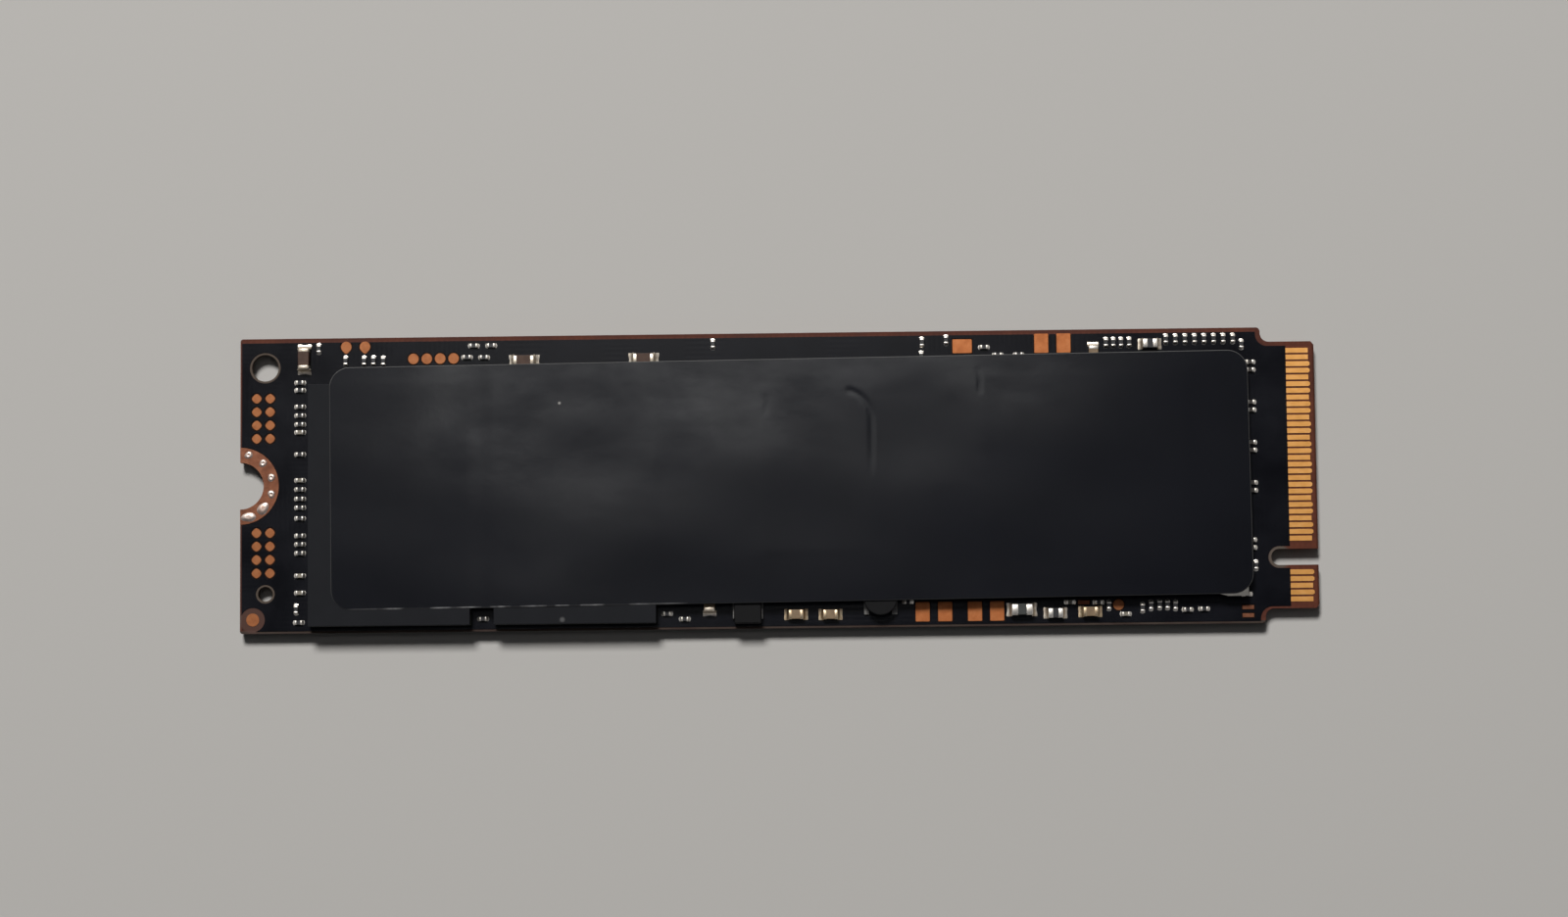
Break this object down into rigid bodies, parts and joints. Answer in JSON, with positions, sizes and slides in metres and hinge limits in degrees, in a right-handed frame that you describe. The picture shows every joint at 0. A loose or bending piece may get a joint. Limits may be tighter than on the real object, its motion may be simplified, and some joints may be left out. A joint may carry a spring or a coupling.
{
  "type": "solid state drive module",
  "caption": "Thin card-edge storage module: circuit board with gold edge contacts, key slot, half-round mounting notch, memory packages, chip parts and a label film.",
  "frame": {"origin": "under the middle of the board, on its lower face", "axes": "+X from the mounting notch to the gold card edge, +Z out of the component side, +Y towards the long edge that is away from the key slot"},
  "size_m": [0.08, 0.022, 0.0022],
  "materials": {
    "laminate": "bare glass laminate",
    "solder_mask": "black solder mask",
    "contact_gold": "hard gold over nickel",
    "pad_copper": "bare copper",
    "tin": "bright tin",
    "solder": "reflowed solder",
    "package_black": "moulded, matt",
    "ferrite": "pressed ferrite",
    "ceramic_brown": "fired ceramic",
    "ceramic_tan": "fired ceramic",
    "ceramic_dark": "glazed black",
    "crystal_lid": "plated lid",
    "label_black": "satin film"
  },
  "bodies": {
    "root": {"board_laminate": "laminate", "solder_mask_top": "solder_mask", "solder_mask_bottom": "solder_mask", "edge_contacts_top": "contact_gold", "edge_contacts_bottom": "contact_gold", "mounting_ring_top": "pad_copper", "mounting_ring_bottom": "pad_copper", "ring_via_solder": "solder", "fiducial_dot": "pad_copper", "header_pads": "pad_copper", "round_probe_pads": "pad_copper", "square_probe_pads": "pad_copper", "spare_pads": "pad_copper", "flash_package_a": "package_black", "flash_package_b": "package_black", "memory_package": "package_black", "controller_package": "package_black", "flash_balls_a": "solder", "flash_balls_b": "solder", "power_chip": "package_black", "power_chip_lands": "tin", "crystal_base": "ceramic_tan", "crystal_lid": "crystal_lid", "power_inductor": "ferrite", "power_inductor_ends": "tin", "drum_inductor": "ferrite", "drum_inductor_feet": "tin", "bulk_capacitor_bodies": "ceramic_brown", "bulk_capacitor_ends": "tin", "ferrite_bead_bodies": "ceramic_dark", "ferrite_bead_ends": "tin", "filter_capacitor_bodies": "ceramic_tan", "filter_capacitor_ends": "tin", "sense_resistor_bodies": "ceramic_brown", "sense_resistor_ends": "tin", "decoupling_capacitor_bodies": "ceramic_brown", "decoupling_capacitor_ends": "tin", "small_resistor_bodies": "ceramic_dark", "small_resistor_ends": "tin", "small_capacitor_bodies": "ceramic_tan", "small_capacitor_ends": "tin", "solder_fillets": "solder", "label": "label_black"}
  },
  "joints": []
}
